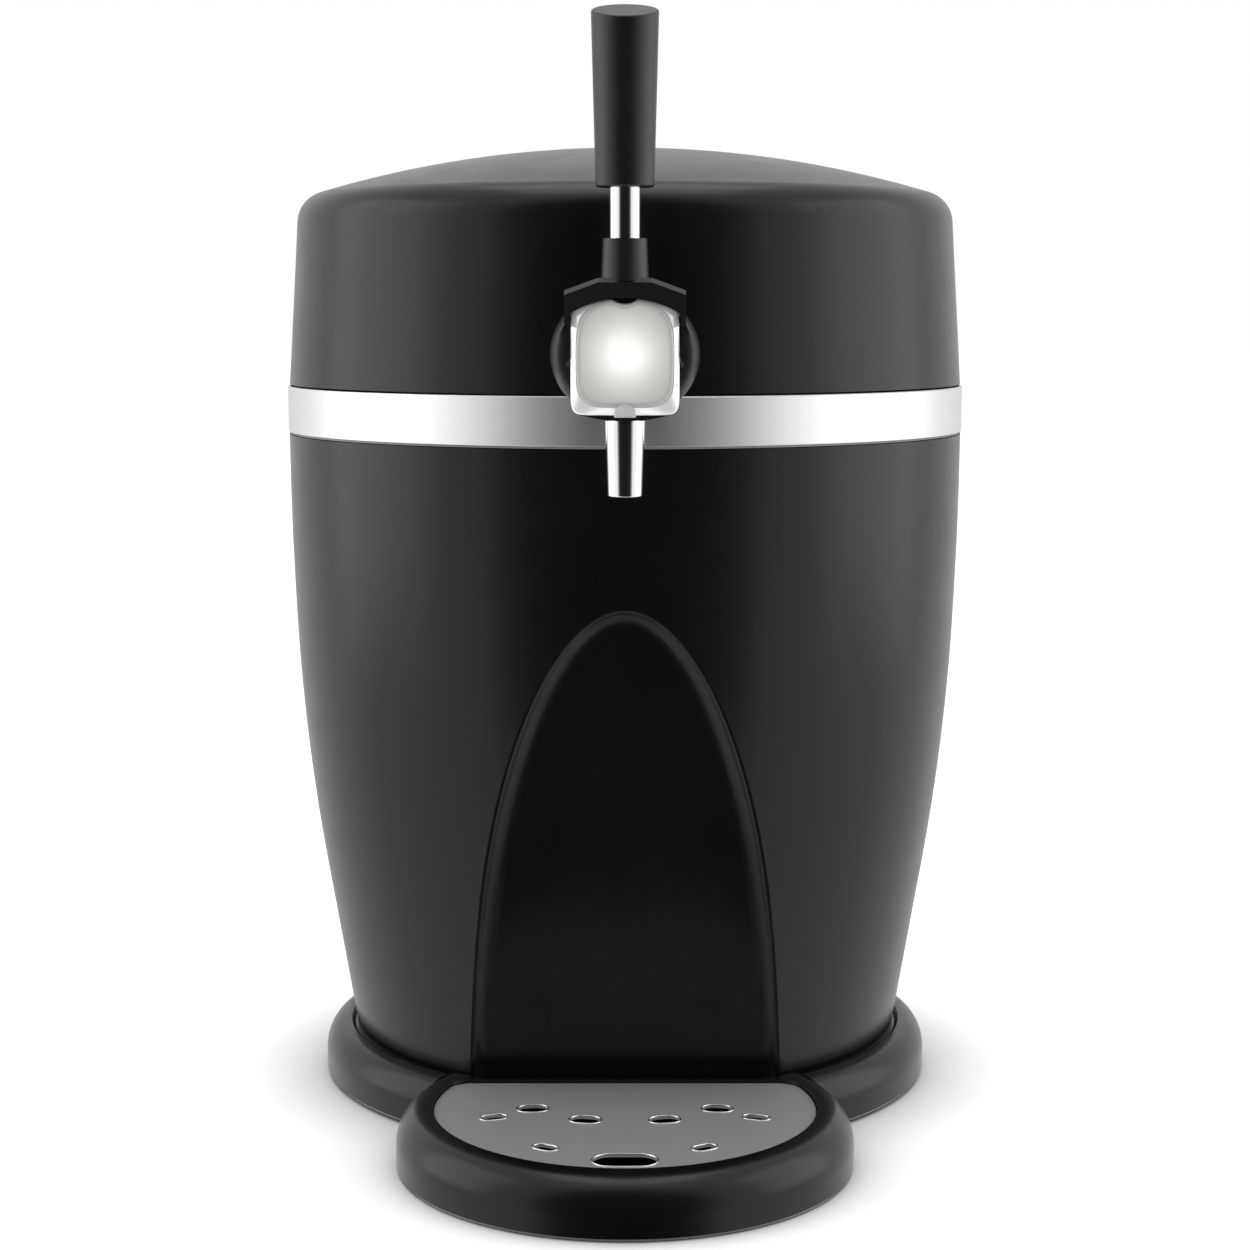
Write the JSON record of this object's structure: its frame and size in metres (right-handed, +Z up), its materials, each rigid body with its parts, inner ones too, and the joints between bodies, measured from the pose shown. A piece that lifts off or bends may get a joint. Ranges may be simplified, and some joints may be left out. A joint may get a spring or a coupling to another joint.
{
  "type": "mini keg beer dispenser",
  "caption": "Countertop beer cooler for a small keg: round body with a glass recess, hinged domed lid carrying a lever tap, removable drip tray and rear-mounted thermoelectric cooler.",
  "frame": {"origin": "Middle of the footprint, on the counter: the middle of the bounding box in X and Y, at the underside of the rubber feet.", "axes": "+Z up, front (tap and drip tray) towards -Y, +X to the right of someone standing behind the machine, which is left-right across the round body."},
  "size_m": [0.264, 0.369, 0.403],
  "materials": {
    "shell_black": "satin black moulded plastic",
    "base_black": "satin black moulded plastic",
    "rubber": "matt black rubber",
    "foam": "pale rigid insulation foam",
    "band_steel": "brushed silver",
    "chrome": "polished chrome",
    "satin_steel": "satin steel",
    "screw_steel": "zinc-plated steel",
    "aluminium": "plain aluminium",
    "board_green": "circuit board",
    "grey_plastic": "grey moulded plastic",
    "hose": "soft pale hose",
    "seal": "grey soft seal",
    "module_white": "white ceramic plates",
    "brass": "brass",
    "cartridge_silver": "bare metal cartridge"
  },
  "bodies": {
    "machine": {"base_housing": "base_black", "base_plate": "base_black", "rubber_feet": "rubber", "base_screws": "screw_steel", "power_supply": "board_green", "control_board": "board_green", "body_shell": "shell_black", "body_foam": "foam", "chamber_liner": "aluminium", "temperature_sensor": "screw_steel", "deck_ring": "grey_plastic", "band": "band_steel", "lid_gasket": "seal", "cold_block": "aluminium", "peltier_module": "module_white", "heat_sink": "aluminium", "sink_screws": "screw_steel", "fan_frame": "base_black", "fan_screws": "screw_steel", "rear_housing": "shell_black", "housing_screws": "screw_steel", "rear_grille": "base_black", "panel_screws": "screw_steel", "mains_inlet": "base_black", "switch_frame": "base_black", "hinge_bracket": "shell_black", "hinge_bracket_screws": "screw_steel", "hinge_pin": "satin_steel"},
    "lid": {"lid_shell": "shell_black", "lid_liner": "grey_plastic", "lid_foam": "foam", "lid_screws": "screw_steel", "hinge_leaves": "shell_black", "hinge_leaf_screws": "screw_steel", "tap_body": "shell_black", "tap_face": "chrome", "tap_collar": "base_black", "tap_shank": "satin_steel", "shank_washer": "screw_steel", "shank_nut": "brass", "spout": "chrome", "keg_coupler": "grey_plastic", "coupler_seal": "seal", "tapping_strap": "satin_steel", "strap_screws": "screw_steel", "beer_line": "hose", "co2_regulator": "brass", "cartridge_holder": "grey_plastic", "co2_cartridge": "cartridge_silver", "gas_line": "hose"},
    "lever": {"lever_yoke": "shell_black", "lever_pivot": "satin_steel", "lever_rod": "chrome", "lever_grip": "shell_black"},
    "valve": {"valve_plunger": "seal"},
    "pressure_knob": {"regulator_knob": "base_black"},
    "tray": {"drip_tray": "base_black"},
    "plate": {"drip_plate": "satin_steel"},
    "fan": {"fan_rotor": "base_black"},
    "switch": {"rocker_switch": "base_black"}
  },
  "joints": [
    {"name": "lid_hinge", "type": "hinge", "parent": "machine", "child": "lid", "pos_m": [0, 0.1638, 0.266], "axis": [-1, 0, 0], "range_deg": [0, 75]},
    {"name": "tap_lever", "type": "hinge", "parent": "lid", "child": "lever", "pos_m": [0, -0.1417, 0.2885], "axis": [1, 0, 0], "range_deg": [0, 35]},
    {"name": "valve_slide", "type": "slide", "parent": "lid", "child": "valve", "axis": [0, 1, 0], "range_m": [0, 0.006]},
    {"name": "pressure_knob_turn", "type": "hinge", "parent": "lid", "child": "pressure_knob", "pos_m": [0, 0.0743, 0.306], "axis": [1, 0, 0], "range_deg": [0, 270]},
    {"name": "drip_tray_pull", "type": "slide", "parent": "machine", "child": "tray", "axis": [0, -1, 0], "range_m": [0, 0.06]},
    {"name": "drip_plate_lift", "type": "slide", "parent": "tray", "child": "plate", "axis": [0, 0, 1], "range_m": [0, 0.025]},
    {"name": "fan_spin", "type": "hinge", "parent": "machine", "child": "fan", "pos_m": [0, 0.0243, 0.14], "axis": [0, 1, 0], "continuous": true},
    {"name": "power_switch", "type": "hinge", "parent": "machine", "child": "switch", "pos_m": [0.029, 0.1773, 0.058], "axis": [1, 0, 0], "range_deg": [0, 16]}
  ],
  "couplings": [
    {"joint": "valve_slide", "follows": "tap_lever", "m_per_rad": 0.00982}
  ]
}
